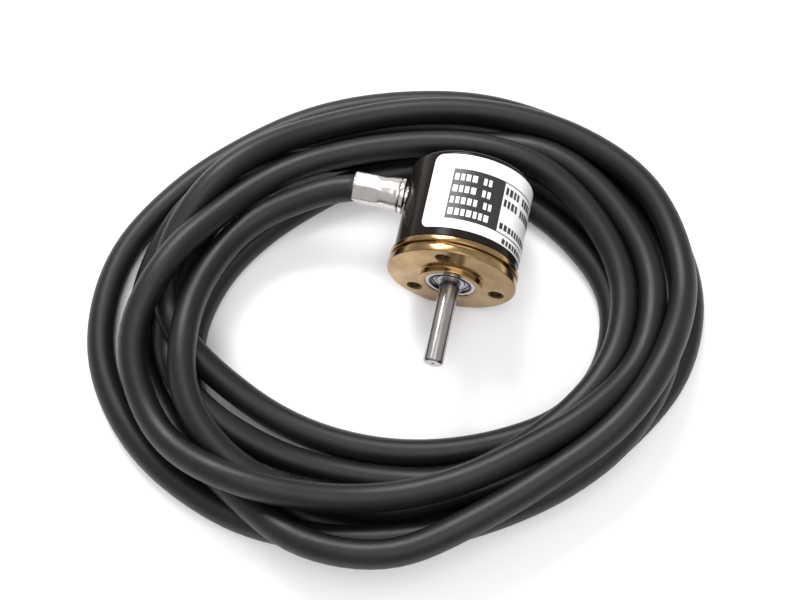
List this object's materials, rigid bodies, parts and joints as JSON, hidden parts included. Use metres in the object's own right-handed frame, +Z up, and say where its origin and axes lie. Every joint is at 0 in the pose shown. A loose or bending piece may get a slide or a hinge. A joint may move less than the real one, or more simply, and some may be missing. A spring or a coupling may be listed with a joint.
{
  "type": "rotary encoder",
  "caption": "Small cylindrical shaft encoder with a turned brass servo flange, printed label, side crimp gland and a long cable coiled loosely round it.",
  "frame": {"origin": "on the table, under the middle of the encoder's own box, with its shaft and gland but without its cable", "axes": "+Z up from the table the encoder lies on, -Y along the shaft out of the flange, -X along the cable gland"},
  "size_m": [0.122, 0.1099, 0.026],
  "materials": {
    "brass": "turned, with fine concentric tool marks",
    "black_enamel": "gloss black stoving enamel",
    "label_foil": "white printed foil with a black panel and plain bars",
    "seal_rubber": "matt black nitrile",
    "bearing_steel": "ground and polished",
    "ball_steel": "polished",
    "cage_plastic": "moulded, satin",
    "shield_steel": "pressed sheet",
    "spring_steel": "blued spring steel",
    "shaft_steel": "ground, slightly tarnished",
    "turned_aluminium": "turned",
    "disc_steel": "etched sheet",
    "board_green": "green solder mask",
    "standoff_nickel": "nickel plated",
    "screw_steel": "zinc plated",
    "holder_black": "moulded",
    "led_clear": "clear lens",
    "reticle_glass": "polished",
    "chip_black": "moulded epoxy",
    "capacitor_can": "drawn can",
    "capacitor_tan": "fired",
    "gland_nickel": "nickel plated, satin",
    "ferrule_nickel": "bright nickel with crimp marks",
    "wire_red": "extruded",
    "wire_black": "extruded",
    "wire_yellow": "extruded",
    "wire_blue": "extruded",
    "cable_jacket": "satin extruded jacket"
  },
  "bodies": {
    "housing": {"flange": "brass", "housing_cover": "black_enamel", "data_label": "label_foil", "cover_seal": "seal_rubber", "front_outer_ring": "bearing_steel", "rear_outer_ring": "bearing_steel", "front_shield": "shield_steel", "rear_shield": "shield_steel", "preload_washer": "spring_steel", "main_board": "board_green", "standoff_1": "standoff_nickel", "standoff_2": "standoff_nickel", "standoff_3": "standoff_nickel", "board_screw_1": "screw_steel", "board_screw_2": "screw_steel", "board_screw_3": "screw_steel", "led_holder": "holder_black", "led_emitter": "led_clear", "reticle_plate": "reticle_glass", "photo_sensor": "chip_black", "line_driver": "chip_black", "voltage_regulator": "chip_black", "filter_capacitor": "capacitor_can", "chip_capacitor": "capacitor_tan", "chip_resistor": "chip_black", "gland_stub": "gland_nickel", "gland_nut": "gland_nickel", "crimp_ferrule": "ferrule_nickel", "lead_wire_1": "wire_red", "lead_wire_2": "wire_black", "lead_wire_3": "wire_yellow", "lead_wire_4": "wire_blue", "cable_lead": "cable_jacket", "cable_coil": "cable_jacket"},
    "rotor": {"shaft": "shaft_steel", "front_inner_ring": "bearing_steel", "rear_inner_ring": "bearing_steel", "ring_spacer": "turned_aluminium", "shaft_clip": "spring_steel", "disc_hub": "turned_aluminium", "disc_clamp": "turned_aluminium", "code_disc": "disc_steel"},
    "front_balls": {"front_cage": "cage_plastic", "front_ball_1": "ball_steel", "front_ball_2": "ball_steel", "front_ball_3": "ball_steel", "front_ball_4": "ball_steel", "front_ball_5": "ball_steel", "front_ball_6": "ball_steel", "front_ball_7": "ball_steel"},
    "rear_balls": {"rear_cage": "cage_plastic", "rear_ball_1": "ball_steel", "rear_ball_2": "ball_steel", "rear_ball_3": "ball_steel", "rear_ball_4": "ball_steel", "rear_ball_5": "ball_steel", "rear_ball_6": "ball_steel", "rear_ball_7": "ball_steel"}
  },
  "joints": [
    {"name": "shaft_spin", "type": "hinge", "parent": "housing", "child": "rotor", "pos_m": [0.0052, 0, 0.013], "axis": [0, -1, 0], "continuous": true},
    {"name": "front_cage_spin", "type": "hinge", "parent": "housing", "child": "front_balls", "pos_m": [0.0052, 0, 0.013], "axis": [0, -1, 0], "continuous": true},
    {"name": "rear_cage_spin", "type": "hinge", "parent": "housing", "child": "rear_balls", "pos_m": [0.0052, 0, 0.013], "axis": [0, -1, 0], "continuous": true}
  ],
  "couplings": [
    {"joint": "front_cage_spin", "follows": "shaft_spin", "ratio": 0.4},
    {"joint": "rear_cage_spin", "follows": "shaft_spin", "ratio": 0.4}
  ]
}
